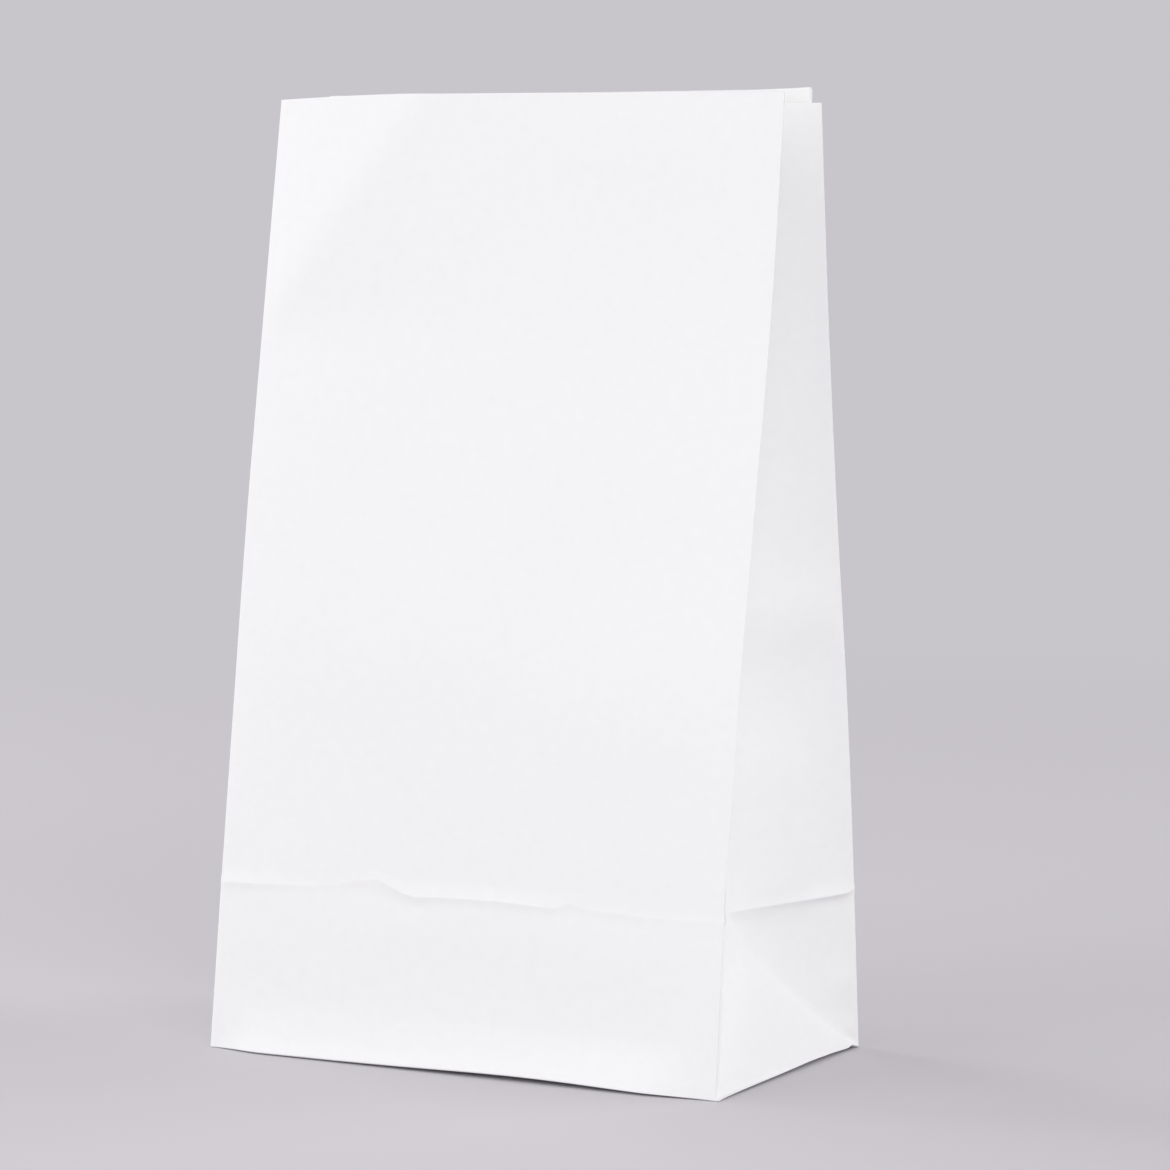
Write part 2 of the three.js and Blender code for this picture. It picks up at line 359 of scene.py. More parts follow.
# the bend line, from the left fold to the mouth, and how softly the paper turns there
CORNER_LINE = ((4.5, 160.0), (40.0, 205.0))
CORNER_SOFTNESS = 1.3
CORNER_RIDGE, CORNER_RIDGE_RADIUS = 0.18, 6


def softly_past(value, softness):
    """The value where it is above 0, and 0 below, with a soft turn between."""
    return np.logaddexp(0, value / softness) * softness


def beyond_corner_line(u, t):
    """Distance from the corner's bend line, positive towards the top left corner."""
    (u0, t0), (u1, t1) = CORNER_LINE
    along = math.hypot(u1 - u0, t1 - t0)
    return ((t - t0) * (u1 - u0) - (u - u0) * (t1 - t0)) / along


def bent_corner(u, t):
    """How far back the top left corner is bent, at a place on the front panel."""
    return softly_past(beyond_corner_line(u, t), CORNER_SOFTNESS) * math.tan(CORNER_BEND)


print("corner: bent by %.1f degrees" % math.degrees(CORNER_BEND))

# %% Curl and foot of the front
# the panel curls back towards its left fold, but not at the very bottom
LEFT_CURL, LEFT_CURL_REACH = 1.6, 12.0
CURL_START = (2, 9)
# above its lowest strip the block is a little hollow, and the strip stands out
FOOT_HOLLOW = 0.5
HOLLOW_START, HOLLOW_END = (-1, 8.5), (9, 33)
FOOT_OUT = 2.5
FOOT_STRIP = 9.0
FOOT_SOFTNESS = 0.7
# both fade towards the upright folds over these distances
FOOT_FADE_LEFT, FOOT_FADE_RIGHT = 14, 18


def left_curl(u, t):
    curl = LEFT_CURL * (1 - np.exp(-u / LEFT_CURL_REACH)) * (1 - panel_shares)
    return curl * soft_step(t, *CURL_START)


def foot_share(u):
    return soft_step(u, 0, FOOT_FADE_LEFT) * soft_step(WIDTH - u, 0, FOOT_FADE_RIGHT)


def foot_hollow(u, t):
    pressed_in = FOOT_HOLLOW * foot_share(u) * soft_step(t, *HOLLOW_START)
    return pressed_in * (1 - soft_step(t, *HOLLOW_END))


def foot_strip(u, t):
    return FOOT_OUT * foot_share(u) * softly_past(FOOT_STRIP - t, FOOT_SOFTNESS) / FOOT_STRIP


print("foot: a strip of %.0f mm stands out by up to %.1f mm" % (FOOT_STRIP, FOOT_OUT))

# %% Front panel
# how far the middle of the panel bows out at the mouth
FRONT_BOW = 3.0
FRONT_DENTS = (
    # u, t, radius across, radius up, height
    (92, 194, 22, 11, 0.45), (78, 157, 20, 14, 0.40), (38, 172, 8, 18, -0.15),
    (40, 122, 26, 20, -0.15), (94, 112, 20, 18, -0.12), (36, 90, 34, 17, 0.45),
    (86, 80, 34, 17, 0.45), (30, 60, 18, 16, -0.15), (98, 58, 17, 14, -0.15),
    (62, 20, 36, 9, -0.2),
)
# where the crease is kinked, the paper under it is pressed in
KINK_DENTS = (
    (36.5, 35.2, 6.0, 2.0, -0.24), (46.5, 33.2, 3.2, 1.3, -0.30), (84.5, 34.6, 4.0, 1.9, -0.16),
    (96, 33.4, 5.5, 1.8, -0.14),
)
# how the ridge of the crease fades towards the left and the right fold
RIDGE_FADE_LEFT, RIDGE_FADE_RIGHT = (-2, 3), (0, 4)


def front_panel():
    """Points of the front, [level, column], from the left fold to the right fold."""
    share = panel_shares[None, :]
    u = share * WIDTH
    block = mix(FRONT_BLOCK_LEFT, FRONT_BLOCK_RIGHT, share)
    flat_t = length_at(levels[:, None], block, FRONT_PANEL)
    shift = wander(u, CREASE_PATH_U, CREASE_PATH_RISE) * bell(flat_t - block, CREASE_REACH)
    left = front_left(length_at(levels, FRONT_BLOCK_LEFT, FRONT_PANEL)[:, None] + shift)
    right = front_right(length_at(levels, FRONT_BLOCK_RIGHT, FRONT_PANEL)[:, None] + shift)
    strip = mix(left, right, share[..., None])
    t = flat_t + shift
    rise = np.clip(levels[:, None] - 1, 0, 1)
    strip[..., 1] -= FRONT_BOW * crown(share) * np.sin(rise * np.pi / 2)
    bend = bent_corner(u, t)
    strip[..., 1] += bend - bent_corner(0, t) * (1 - share) - bent_corner(WIDTH, t) * share
    ridge_size = RIDGE * np.interp(u, RIDGE_U, RIDGE_SHARE)
    ridge_size = ridge_size * soft_step(u, *RIDGE_FADE_LEFT)
    ridge_size = ridge_size * soft_step(WIDTH - u, *RIDGE_FADE_RIGHT)
    dents = bumps(u, t, FRONT_DENTS) + bumps(u, t, KINK_DENTS)
    corner_ridge = CORNER_RIDGE * bell(beyond_corner_line(u, t), CORNER_RIDGE_RADIUS)
    amount = ridge_size * crease_ridge(flat_t - block) + on_panel(u) * (dents + corner_ridge)
    return push(strip, amount + left_curl(u, t) - foot_hollow(u, t) + foot_strip(u, t))


front = front_panel()
print("front panel: %d x %d points" % front.shape[:2])

# %% [markdown]
# ## Rear panel
# The camera doesn't see the rear, so it is finished as on any such bag: the tube is glued there,
# with one edge of the sheet lying over the other. The step of that seam is one paper's
# thickness. A second strip of paper could be laid on the first, but then the sheet would be two
# meshes. Instead two mesh lines are moved side by side, and the paper on one side of them is
# raised. The rear panel also goes on above the cut at the mouth, as a lip that starts a little
# in from the folds.

# %% Rear panel
REAR_BOW = 2.0
# the wall: real paper is about 0.1 mm thick, but its cut edge wouldn't show
PAPER = 0.18
# the seam: its place, the gap between its two mesh lines, and how the upper edge is raised
SEAM_U = 74.0
SEAM_GAP = 0.04
SEAM_LAP, SEAM_LEVEL = 13.0, 1
# the lip: where it starts, counted in mesh lines, its height across the panel, the shares of
# that height at which it has points, how its ends are rounded, and its lean to the rear
LIP_COLUMN = 5
LIP_HEIGHT_U = np.array([2.4, 8, 16, 40, 80, 117.6])
LIP_HEIGHT = np.array([3.28, 3.05, 2.85, 2.75, 2.5, 2.3])
LIP_SHARES = (0.3, 0.65, 0.9, 1.0)
LIP_ROUND = (0.0, 0.0, 0.12, 0.45)
LIP_FLARE = 0.2
REAR_DENTS = (
    # u, t, radius across, radius up, height
    (36, 150, 26, 24, -0.35), (84, 172, 24, 20, 0.25), (60, 112, 34, 18, -0.25),
    (28, 84, 20, 20, 0.25), (92, 70, 20, 20, -0.25), (58, 20, 34, 9, -0.22),
    (31, 36.6, 6, 2.2, -0.25), (95, 34.6, 4, 1.8, -0.25),
)
REAR_PATH_U = np.array([0, 14, 26, 31, 36, 50, 72, 90, 95, 100, 120.0])
REAR_PATH_RISE = np.array([0, 0.3, 1.0, 2.0, 0.8, 0.2, -0.3, 0.2, 1.4, 0.3, 0.0])
REAR_RIDGE = 0.6 * RIDGE
REAR_RIDGE_FADE = (-2, 3)

rear_shares = panel_shares.copy()
seam_column = int(np.argmin(np.abs(rear_shares * WIDTH - SEAM_U)))
rear_shares[seam_column] = (SEAM_U - SEAM_GAP / 2) / WIDTH
rear_shares[seam_column + 1] = (SEAM_U + SEAM_GAP / 2) / WIDTH


def rear_panel():
    """From the right fold to the left fold, with the lip's levels above the others."""
    share = rear_shares[None, :]
    u = share * WIDTH
    flat_t = length_at(levels, REAR_BLOCK, REAR_PANEL)[:, None] + 0 * u
    lip = np.array(LIP_SHARES)[:, None] * np.interp(u, LIP_HEIGHT_U, LIP_HEIGHT)
    flat_t = np.concatenate([flat_t, REAR_PANEL + lip])
    path = wander(u, REAR_PATH_U, REAR_PATH_RISE)
    t = flat_t + path * bell(flat_t - REAR_BLOCK, CREASE_REACH)
    strip = mix(rear_right(t), rear_left(t), share[..., None])
    rise = np.clip((flat_t - REAR_BLOCK) / (REAR_PANEL - REAR_BLOCK), 0, 1)
    strip[..., 1] += REAR_BOW * crown(share) * np.sin(rise * np.pi / 2)
    strip[..., 1] += LIP_FLARE * np.maximum(flat_t - REAR_PANEL, 0)
    ridge_size = REAR_RIDGE * soft_step(u, *REAR_RIDGE_FADE)
    ridge_size = ridge_size * soft_step(WIDTH - u, *REAR_RIDGE_FADE)
    amount = ridge_size * crease_ridge(flat_t - REAR_BLOCK)
    amount = amount + on_panel(u) * bumps(u, t, REAR_DENTS)
    lap = np.where(u < SEAM_U, soft_step(u, SEAM_U - SEAM_LAP, SEAM_U - SEAM_LEVEL), 0)
    return push(strip, amount + PAPER * lap), t


rear, rear_t = rear_panel()
for row, inset in enumerate(LIP_ROUND, len(levels)):
    rear[row, LIP_COLUMN, 0] -= inset
    rear[row, -1 - LIP_COLUMN, 0] += inset
print("rear panel: seam %.1f mm from the right fold, lip up to %.1f mm"
      % (SEAM_U, LIP_HEIGHT.max()))

# %% [markdown]
# ## Forms of the sides
# The side's block crease overhangs: the tube stands on the block like a lid, and just below it
# the rear triangle is tucked in, with a deep pocket that holds the bag's darkest shade. The 45
# degree fold isn't straight but sags towards the bottom. Higher up, a broad soft ridge crosses
# the gusset, and below it the strip beside the rear fold is turned away a little. A cloth
# simulation could fold the paper, but wouldn't put each form where a real bag has it, so these
# are formulas too. The left side isn't in the picture and gets the same forms, mirrored.

# %% Ridge of the side's block crease
SIDE_RIDGE = 0.75
SIDE_RIDGE_AT = np.array([0, 2.5, 6, 14, 22, 28, 35.0])
SIDE_RIDGE_SHARE = np.array([0.25, 0.9, 1.0, 0.8, 0.6, 0.25, 0.0])

below_crease = np.maximum(1 - levels, 0)[:, None] * HALF_GUSSET
above_crease = np.maximum(levels - 1, 0)[:, None] * (FRONT_PANEL - REAR_BLOCK)


def side_ridge(from_fold):
    along = np.interp(from_fold, SIDE_RIDGE_AT, SIDE_RIDGE_SHARE)
    return SIDE_RIDGE * along * crease_ridge(above_crease - below_crease)


print("side crease: ridge %.2f mm" % SIDE_RIDGE)

# %% Forms above the side's crease
GUSSET_FORMS = (
    # from the fold, up the sheet, radius across, radius up, height
    (14, 97, 15, 8.5, 1.6), (3.2, 38.5, 3.6, 3.0, 0.30),
    (15, 150, 14, 26, -0.25), (12, 190, 14, 8, 0.40), (22, 122, 10, 14, 0.15),
)
# between these distances from the fold the gusset rises to a strip that is turned away,
# which fades towards the centre crease, at its foot and at its top
STRIP_STEP = 0.8
STRIP = (9.0, 15.5)
STRIP_FADE = 16
STRIP_FOOT, STRIP_TOP = (34, 40), (62, 76)
# nothing is pushed at the upright fold and at the centre crease
FOLD_FADE, CENTRE_FADE = 3, 4


def gusset_forms(from_fold, t):
    """The turned strip, the broad ridge and the dents of one half of a gusset."""
    to_centre = HALF_GUSSET - from_fold
    off_folds = soft_step(from_fold, 0, FOLD_FADE) * soft_step(to_centre, 0, CENTRE_FADE)
    strip = STRIP_STEP * soft_step(from_fold, *STRIP) * soft_step(to_centre, 0, STRIP_FADE)
    strip = strip * soft_step(t, *STRIP_FOOT) * (1 - soft_step(t, *STRIP_TOP))
    return (strip + bumps(from_fold, t, GUSSET_FORMS)) * off_folds


print("gusset: %d ridges and dents" % len(GUSSET_FORMS))

# %% Forms of the tucked-in triangle
TRIANGLE_DENTS = (
    # from the rear fold, below the crease, radius across, radius down, height
    (13.5, 4.6, 3.2, 3.0, -0.28), (22.0, 4.0, 5.0, 3.0, -0.12),
)
# the deepest place under the side's crease: from the rear fold, radius across, depth, and
# how far below the crease it reaches its depth and loses it
POCKET = (5.5, 4.5, 0.8)
POCKET_TOP, POCKET_FOOT = 0.9, 6
# places below the crease where the paper turns away just before the rear fold
TURNED_EDGE = (
    # below the crease, radius down, height
    (20.0, 3.4, 0.55), (30.8, 1.8, 0.60),
)
TURNED_FROM, TURNED_TO = (0, 2.6), (3, 14)
DISH, DISH_POWER = 0.7, 0.7
# the triangle's forms start at the 45 degree fold, given here as shares of the half gusset
TRIANGLE_START = (-0.02, 0.06)
TINY = 1e-3


def triangle_dish(across, up):
    """The hollow of the triangle between the upright fold and the 45 degree fold."""
    down_share = np.clip((1 - up) / np.maximum(1 - across, TINY), 0, 1)
    return DISH * np.sin(np.pi * down_share) * np.sin(np.pi * across) ** DISH_POWER


def tucked_triangle(from_fold):
    """The dents, the turned edge and the pocket of the rear triangle."""
    at, radius, depth = POCKET
    pocket = depth * bell(from_fold - at, radius) * (1 - np.exp(-below_crease / POCKET_TOP))
    pocket = pocket * np.exp(-below_crease / POCKET_FOOT)
    turned = soft_step(from_fold, *TURNED_FROM) * (1 - soft_step(from_fold, *TURNED_TO))
    turned = turned * sum(height * bell(below_crease - at, radius)
                          for at, radius, height in TURNED_EDGE)
    return bumps(from_fold, below_crease, TRIANGLE_DENTS) + turned - pocket


print("pocket under the side's crease: %.1f mm deep" % POCKET[2])

# %% Sag of the 45 degree fold
SAG_AT = np.array([0, 0.1, 0.25, 0.4, 0.56, 0.73, 0.85, 0.95, 1.0])
SAG = np.array([0, 0.6, 1.9, 2.3, 2.4, 2.5, 2.2, 1.2, 0.2])
SAG_REACH = 6.0
# as shares of the block's height, the sag fades under the crease and above the bottom edge
SAG_FADE_TOP, SAG_FADE_FOOT = 0.25, 0.08


def fold_sag(across, up):
    """How far the 45 degree fold sags, and the paper beside it with it."""
    off_fold = (up - across) * HALF_GUSSET / math.sqrt(2)
    sag = np.interp(np.minimum(across, up), SAG_AT, SAG) * bell(off_fold, SAG_REACH) * (up < 1)
    return sag * soft_step(1 - up, 0, SAG_FADE_TOP) * soft_step(up, 0, SAG_FADE_FOOT)


print("45 degree fold: sags by up to %.1f mm" % SAG.max())

# %% Forms of both halves of a side
# the front half of the side has milder forms than the rear half
FRONT_SHARE = 0.75


def side_forms(strip, side, front_block):
    """Pushes a side's points along its normals, and lets its 45 degree folds sag."""
    t = length_at(levels, (front_block + REAR_BLOCK) / 2, FRONT_PANEL)[:, None]
    from_fold = half_shares[None, :] * HALF_GUSSET
    across, up = from_fold / HALF_GUSSET, levels[:, None]
    ridge, tube = side_ridge(from_fold), gusset_forms(from_fold, t)
    dish = triangle_dish(across, up)
    in_triangle = soft_step(up - across, *TRIANGLE_START)
    rear_triangle = (tucked_triangle(from_fold) - dish) * in_triangle
    rear_half = ridge + np.where(up >= 1, tube, rear_triangle)
    front_half = FRONT_SHARE * (ridge + np.where(up >= 1, tube, -dish * in_triangle))
    both = np.concatenate([front_half, rear_half[:, -2::-1]], axis=1)
    pushed = strip + outward(strip) * side * both[..., None]
    sag = fold_sag(across, up)
    centre = len(half_shares) - 1
    pushed[:, centre:, 2] -= sag[:, ::-1]
    pushed[:, :centre + 1, 2] -= sag
    return pushed


right_side = side_forms(right_side, 1, FRONT_BLOCK_RIGHT)
left_side = side_forms(left_side, -1, FRONT_BLOCK_LEFT)
print("sides: %d x %d points each" % right_side.shape[:2])

# %% [markdown]
# ## One ring of paper
# The four faces are joined into one closed ring at every level, counter-clockwise seen from
# above. Four separate faces would be easier to make, but light would show between them. Where
# two faces meet, the fold is rounded a little by drawing its points towards their neighbours.

# %% Join the faces
ROWS = len(levels)
PANEL_POINTS = len(panel_shares) - 1
SIDE_POINTS = 2 * (len(half_shares) - 1)
front[:, 0], front[:, -1] = left_side[:, 0], right_side[:, 0]
rear[:ROWS, 0], rear[:ROWS, -1] = right_side[:, -1], left_side[:, -1]
ring = np.concatenate([front[:, :-1], right_side[:, :-1], rear[:ROWS, :-1],
                       left_side[:, :0:-1]], axis=1)
COLUMNS = ring.shape[1]
FOLD_COLUMNS = np.cumsum([0, PANEL_POINTS, SIDE_POINTS, PANEL_POINTS])
RIGHT_START, REAR_START, LEFT_START = FOLD_COLUMNS[1:]
# the places of the mesh lines round the flat sheet, from the front's left fold
side_y = np.concatenate([half_shares, 2 - half_shares[-2::-1]]) * HALF_GUSSET
sheet_u = np.concatenate([panel_shares[:-1] * WIDTH, WIDTH + side_y[:-1],
                          WIDTH + DEPTH + rear_shares[:-1] * WIDTH,
                          2 * WIDTH + DEPTH + side_y[:-1]])
print("ring: %d levels of %d points" % ring.shape[:2])

# %% Round the folds
FOLD_PASSES, FOLD_WEIGHT = 1, 0.45
CENTRE_PASSES, CENTRE_WEIGHT, CENTRE_REACH = 20, 0.5, 6
APEX_PASSES, APEX_WEIGHT, APEX_RADIUS = 8, 0.8, 2.2


def round_folds(ring):
    """Draws the points of the four upright folds, and those beside them, inwards."""
    for _ in range(FOLD_PASSES):
        for column in FOLD_COLUMNS:
            for offset in (0, -1, 1):
                c = (column + offset) % COLUMNS
                mean = (ring[:, c - 1] + ring[:, (c + 1) % COLUMNS]) / 2
                weight = FOLD_WEIGHT if offset == 0 else FOLD_WEIGHT / 2
                ring[:, c] = mix(ring[:, c], mean, weight)
    return ring


def even_centre(ring, column):
    """Evens out the bottom triangle of a side along its middle, where there is no fold."""
    for _ in range(CENTRE_PASSES):
        for row in range(1, CREASE_ROW - 2):
            reach = min(CENTRE_REACH, CREASE_ROW - row - 2)
            columns = column + np.arange(-reach, reach + 1)
            mean = (ring[row, columns - 1] + ring[row, columns + 1]) / 2
            ring[row, columns] = mix(ring[row, columns], mean, CENTRE_WEIGHT)
    return ring


def soften(ring, centre):
    """Evens out the points round a place where the folds fade, such as the gusset's apex."""
    for _ in range(APEX_PASSES):
        near = bell(np.linalg.norm(ring - centre, axis=-1), APEX_RADIUS)[1:-1, :, None]
        around = (np.roll(ring, 1, 1) + np.roll(ring, -1, 1))[1:-1] + ring[2:] + ring[:-2]
        ring[1:-1] = mix(ring[1:-1], around / 4, near * APEX_WEIGHT)
    return ring


ring = round_folds(ring)
for start in (RIGHT_START, LEFT_START):
    ring = even_centre(ring, start + CREASE_COLUMN)
    ring = soften(ring, ring[CREASE_ROW, start + CREASE_COLUMN].copy())
print("folds rounded: %d upright, %d apexes" % (len(FOLD_COLUMNS), 2))

# %% [markdown]
# ## How the bag stands
# The corners stand on the table, and the edges between them arch up by about a millimetre,
# because the glued flaps hold the bottom a little proud. Beside the rear corners the side's edge
# has a small notch. The right end of the block also leans a little to the left, the left corner
# of the mouth is pressed down, and the rear ends of the side creases stick up. One could pull
# such points by hand with proportional editing. Here the same falloff is written down, so every
# push has a size and a reach in millimetres.

# %% Raise the bottom edge
# each edge: the lift along it, the height, place and radius of the bell that is added, as
# shares of the edge, and the power of the arch that brings it down to the corners
PANEL_LIFT, PANEL_LIFT_BELL, PANEL_LIFT_POWER = 0.44, (0.74, 0.66, 0.24), 0.6
SIDE_LIFT, SIDE_LIFT_BELL, SIDE_LIFT_POWER = 0.72, (0.42, 0.75, 0.22), 0.35
NOTCH = (0.75, 0.955, 0.016)
LIFT_PASSES = 4
# the lift fades up the wall with this reach
EDGE_REACH = 7.0


def bell_at(share, height_place_radius):
    height, place, radius = height_place_radius
    return height * bell(share - place, radius)


def panel_lift(share):
    """Lift of the bottom edge along the front and the rear: most at the right of the middle."""
    share = np.clip(share, 0, 1)
    arch = np.sin(np.pi * share) ** PANEL_LIFT_POWER
    return arch * (PANEL_LIFT + bell_at(share, PANEL_LIFT_BELL))


def side_lift(share):
    """From the front corner to the rear corner, which has a small notch beside it."""
    share = np.clip(share, 0, 1)
    arch = np.sin(np.pi * share) ** SIDE_LIFT_POWER
    return arch * (SIDE_LIFT + bell_at(share, SIDE_LIFT_BELL)) + bell_at(share, NOTCH)


lift = np.concatenate([panel_lift(panel_shares[:-1]), side_lift(side_y[:-1] / DEPTH),
                       panel_lift(1 - rear_shares[:-1]), side_lift(1 - side_y[:-1] / DEPTH)])
for _ in range(LIFT_PASSES):
    lift = (np.roll(lift, 1) + lift + np.roll(lift, -1)) / 3
up_the_wall = length_at(levels, HALF_GUSSET, FRONT_PANEL)[:, None]
ring[..., 2] += lift * np.exp(-up_the_wall / EDGE_REACH)
print("bottom edge: raised by up to %.2f mm" % lift.max())

# %% Lean the block's right end to the left
# its front fold leans a little, the foot of the gusset's centre crease a little more
FOLD_LEAN = 0.95
CENTRE_LEAN = 1.25
LEAN_FADE = (36, 68)

fold_lean = np.concatenate([panel_shares[:-1] ** 2, 1 - side_y[:-1] / DEPTH,
                            0 * rear_shares[:-1], 0 * side_y[:-1]])
centre_lean = np.zeros(COLUMNS)
centre_lean[RIGHT_START:REAR_START] = 1 - np.abs(side_y[:-1] / HALF_GUSSET - 1)
up_block = np.minimum(levels, 1)[:, None]
fade_above = 1 - soft_step(up_the_wall, *LEAN_FADE)
ring[..., 0] -= fade_above * (FOLD_LEAN * fold_lean
                              + CENTRE_LEAN * np.minimum(centre_lean, up_block))
print("right end of the block: leans by up to %.2f mm" % max(FOLD_LEAN, CENTRE_LEAN))

# %% Corner of the mouth and ends of the side creases
MOUTH_CORNER_DROP, MOUTH_CORNER_REACH = 0.55, 23
CREASE_TIP_RISE, CREASE_TIP_REACH = 0.8, 1.4


def raise_round(ring, place, height, reach):
    """Raises the points near a place by a bell of this height and reach."""
    centre = ring[place].copy()
    ring[..., 2] += height * bell(np.linalg.norm(ring - centre, axis=-1), reach)
    return ring


ring = raise_round(ring, (-1, 0), -MOUTH_CORNER_DROP, MOUTH_CORNER_REACH)
for column in (REAR_START, LEFT_START):
    ring = raise_round(ring, (CREASE_ROW, column), CREASE_TIP_RISE, CREASE_TIP_REACH)
# nothing goes below the table
ring[..., 2] = np.maximum(ring[..., 2], 0)
print("ring: from z %.2f to %.2f mm" % (ring[..., 2].min(), ring[..., 2].max()))

# %% [markdown]
# ## Base and lip
# The ring is closed below by a grid of points between its bottom edges, and the lip's points
# are added above the rear panel. Both could be made by filling a face, but a grid keeps the mesh
# even, follows the arch of the bottom edges, and bows out with the foot of the front.

# %% Shape of the base
# the bag's own base lies this far above the lowest flap
BASE_LEVEL = 0.55
# the lift of the edges fades inwards with this reach, and the layers part over this distance
BASE_REACH = 12.0
BASE_RAMP = 4.0


def edge_distance(x, y):
    return max(min(WIDTH / 2 - abs(x), HALF_GUSSET - abs(y)), 0)


def base_height(x, y):
    """Height under the bag: 0 in the middle, raised towards the edges like the walls there."""
    along, across = x / WIDTH + 0.5, y / DEPTH + 0.5
    to_panel = math.exp(-(HALF_GUSSET - abs(y)) / BASE_REACH)
    to_side = math.exp(-(WIDTH / 2 - abs(x)) / BASE_REACH)
    return panel_lift(along) * to_panel + side_lift(across) * to_side


def layer_height(x, y, above):
    """Height of a layer that lies so far above the lowest one, away from the edges."""
    return base_height(x, y) + above * float(soft_step(edge_distance(x, y), 0, BASE_RAMP))


def bowed(x, y):
    """Draws a place on the base out to the front's bottom edge, which bows."""
    edge = ring[0, :PANEL_POINTS + 1]
    bow = np.interp(x, edge[:, 0], edge[:, 1]) + HALF_GUSSET
    return y + bow * max(-y / HALF_GUSSET, 0)


print("front's bottom edge: bows out by %.1f mm" % (-HALF_GUSSET - bowed(0, -HALF_GUSSET)))

# %% Outer surface: the walls
points = list(ring.reshape(-1, 3))
uv = [(u, v) for v in length_at(levels, HALF_GUSSET, FRONT_PANEL) for u in sheet_u]
faces = []


def add_walls():
    """Four-sided faces, split along the 45 degree folds in the sides of the block."""
    for row in range(ROWS - 1):
        for column in range(COLUMNS):
            a, b = row * COLUMNS + column, row * COLUMNS + (column + 1) % COLUMNS
            c, d = b + COLUMNS, a + COLUMNS
            into_side = column - (RIGHT_START if column < REAR_START else LEFT_START)
            if row >= CREASE_ROW or into_side < 0:
                faces.append((a, b, c, d))
            elif into_side < CREASE_COLUMN:
                faces.extend([(a, b, c), (a, c, d)])
            else:
                faces.extend([(a, b, d), (b, c, d)])


add_walls()
print("walls: %d points, %d faces" % (len(points), len(faces)))

# %% Outer surface: the lip and the base
# the base has its own place on the flat sheet, above the mouth
BASE_V = 215


def add_lip():
    """Rows of points above the rear panel, between the two ends of the lip."""
    columns = range(LIP_COLUMN, PANEL_POINTS - LIP_COLUMN + 1)
    below = [(ROWS - 1) * COLUMNS + REAR_START + c for c in columns]
    for row in range(ROWS, ROWS + len(LIP_SHARES)):
        above = [len(points) + i for i in range(len(columns))]
        for c in columns:
            points.append(rear[row, c])
            uv.append((WIDTH + DEPTH + rear_shares[c] * WIDTH, rear_t[row, c]))
        for i in range(len(above) - 1):
            faces.append((below[i], below[i + 1], above[i + 1], above[i]))
        below = above


def base_point(i, j):
    """Number of the base's point in column i and row j. Its outermost ones are the ring's."""
    if j == 0:
        return i
    if j == SIDE_POINTS:
        return (REAR_START + PANEL_POINTS - i) % COLUMNS
    if i == 0:
        return LEFT_START + SIDE_POINTS - j
    if i == PANEL_POINTS:
        return RIGHT_START + j
    share = mix(panel_shares[i], 1 - rear_shares[PANEL_POINTS - i], side_y[j] / DEPTH)
    x, y = WIDTH * (share - 0.5), side_y[j] - HALF_GUSSET
    points.append(np.array([x, bowed(x, y), layer_height(x, y, BASE_LEVEL)]))
    uv.append((x + WIDTH / 2, BASE_V + side_y[j]))
    return len(points) - 1


def add_base():
    grid = [[base_point(i, j) for i in range(PANEL_POINTS + 1)] for j in range(SIDE_POINTS + 1)]
    for near, far in zip(grid, grid[1:]):
        for i in range(PANEL_POINTS):
            faces.append((near[i], far[i], far[i + 1], near[i + 1]))


add_lip()
add_base()
print("outer surface: %d points, %d faces" % (len(points), len(faces)))

# %% [markdown]
# ## The sheet as a mesh
# The points and faces become one mesh. Its UV map is the flat sheet, in metres, so that the
# fibres of the paper run up the tube and turn with every fold. An unwrap would have to guess
# that map; here it is known. Two numbers are kept for every point as well: how loose the paper is
# there, for its waves, and how close a fold is, for the painted highlight along the folds.

# %% Mesh with its UV map
def make_mesh(name, points, faces, uv):
    """An object at the origin, with the places on the flat sheet as its UV map."""
    mesh = bpy.data.meshes.new(name)
    mesh.from_pydata([tuple(np.asarray(p, float) * MM) for p in points], [], faces)
    mesh.validate()
    layer = mesh.uv_layers.new(name="sheet")
    corners = np.zeros(len(mesh.loops), dtype=int)
    mesh.loops.foreach_get("vertex_index", corners)
    flat = np.array(uv, float)[corners]
    for polygon in mesh.polygons:
        # on a face over the sheet's first line, the places after that line go past the end
        span = list(polygon.loop_indices)
        across = flat[span, 0]
        if across.max() - across.min() > GIRTH / 2:
            flat[span, 0] = np.where(across < GIRTH / 2, across + GIRTH, across)
    layer.data.foreach_set("uv", (flat * MM).ravel())
    mesh.polygons.foreach_set("use_smooth", [True] * len(mesh.polygons))
    obj = bpy.data.objects.new(name, mesh)
    bpy.context.collection.objects.link(obj)
    return obj


sheet = make_mesh("bag_sheet", points, faces, uv)
print("bag sheet: %d faces before it has a thickness" % len(sheet.data.polygons))

# %% Loose paper and folds
# the paper is loose from 1 mm to 14 mm off a fold; the painted highlight along a fold has this
# radius
LOOSE_START, LOOSE_END = 1, 14
FOLD_HIGHLIGHT_RADIUS = 0.35
NO_FOLD = 1e9


def gap_to(places):
    """Distance round the sheet from each mesh line to the nearest of the places."""
    gaps = [np.abs(sheet_u - place) for place in places]
    return np.min([np.minimum(gap, GIRTH - gap) for gap in gaps], axis=0)


